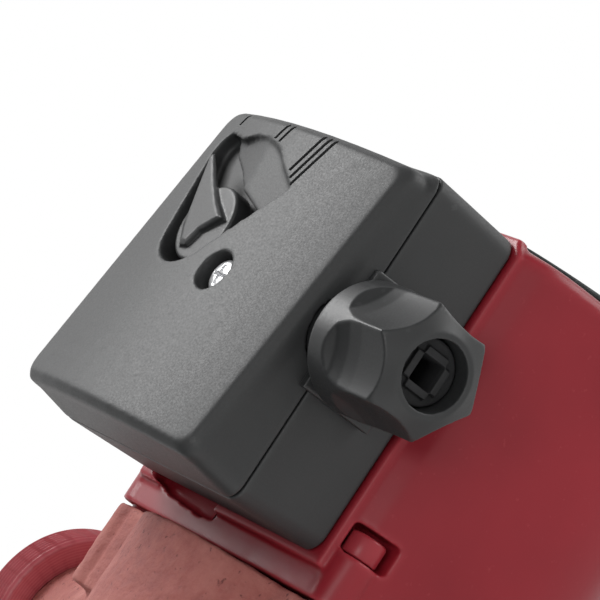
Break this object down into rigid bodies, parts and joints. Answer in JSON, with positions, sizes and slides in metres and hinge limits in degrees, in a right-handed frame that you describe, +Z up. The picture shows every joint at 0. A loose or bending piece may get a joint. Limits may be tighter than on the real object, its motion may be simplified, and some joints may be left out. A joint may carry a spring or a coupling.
{
  "type": "circulator pump",
  "caption": "Inline wet-rotor heating circulator with painted motor, drafted plastic terminal box, lever speed selector and fluted cable gland",
  "frame": {"origin": "where the pipe line's axis meets the motor's axis, midway between the two port faces", "axes": "+Z up the pipe line in the direction of flow, -Y along the motor axis towards the motor's end, -X towards the terminal box"},
  "size_m": [0.1253, 0.1463, 0.18],
  "materials": {
    "painted_casting": "rough cast iron under matt red paint",
    "red_paint": "satin red enamel",
    "painted_screw": "red enamel over a socket cap screw",
    "dark_plate": "dark satin sheet, blank",
    "brass": "turned",
    "rubber": "black moulded rubber",
    "stainless": "deep drawn",
    "carbon": "ground carbon",
    "ceramic": "polished ceramic",
    "composite": "glass-filled composite",
    "lamination": "stacked laminations",
    "copper": "enamelled wire",
    "box_plastic": "fine-textured charcoal plastic",
    "knob_plastic": "fine-textured dark plastic",
    "zinc": "bright zinc",
    "white_plastic": "moulded",
    "capacitor_case": "moulded"
  },
  "bodies": {
    "pump": {"pump_housing": "painted_casting", "motor_housing": "red_paint", "flange_screw_1": "painted_screw", "flange_screw_2": "painted_screw", "flange_screw_3": "painted_screw", "flange_screw_4": "painted_screw", "end_plate": "dark_plate", "vent_plug_seal": "rubber", "housing_gasket": "rubber", "bearing_plate": "stainless", "rotor_can": "stainless", "front_bearing": "carbon", "rear_bearing": "carbon", "neck_ring": "stainless", "stator_core": "lamination", "front_winding": "copper", "rear_winding": "copper", "terminal_box_base": "box_plastic", "box_fixing_screw_1": "zinc", "box_fixing_screw_2": "zinc", "earth_screw": "brass", "speed_switch": "white_plastic", "terminal_block": "white_plastic", "terminal_screw_1": "brass", "terminal_screw_2": "brass", "terminal_screw_3": "brass", "capacitor": "capacitor_case", "gland_body": "box_plastic", "gland_seal": "rubber"},
    "rotor_assembly": {"rotor": "stainless", "shaft": "ceramic", "impeller": "composite", "thrust_bearing": "carbon"},
    "cover": {"terminal_box_cover": "box_plastic"},
    "cover_fastener": {"cover_screw": "zinc"},
    "selector": {"speed_knob": "knob_plastic"},
    "gland_clamp": {"gland_nut": "box_plastic"},
    "vent": {"vent_plug": "brass"}
  },
  "joints": [
    {"name": "rotor_spin", "type": "hinge", "parent": "pump", "child": "rotor_assembly", "pos_m": [0, -0.06, 0], "axis": [0, -1, 0], "continuous": true},
    {"name": "cover_lift", "type": "slide", "parent": "pump", "child": "cover", "axis": [-1, 0, 0], "range_m": [0, 0.04]},
    {"name": "cover_screw_turn", "type": "hinge", "parent": "cover", "child": "cover_fastener", "pos_m": [-0.07, -0.0729, -0.0076], "axis": [-1, 0, 0], "continuous": true},
    {"name": "speed_select", "type": "hinge", "parent": "cover", "child": "selector", "pos_m": [-0.07, -0.082, 0.0111], "axis": [1, 0, 0], "range_deg": [0, 88]},
    {"name": "gland_nut_turn", "type": "hinge", "parent": "pump", "child": "gland_clamp", "pos_m": [-0.0578, -0.0739, -0.06], "axis": [0, 0, -1], "continuous": true},
    {"name": "vent_plug_turn", "type": "hinge", "parent": "pump", "child": "vent", "pos_m": [0, -0.112, 0], "axis": [0, -1, 0], "continuous": true}
  ]
}
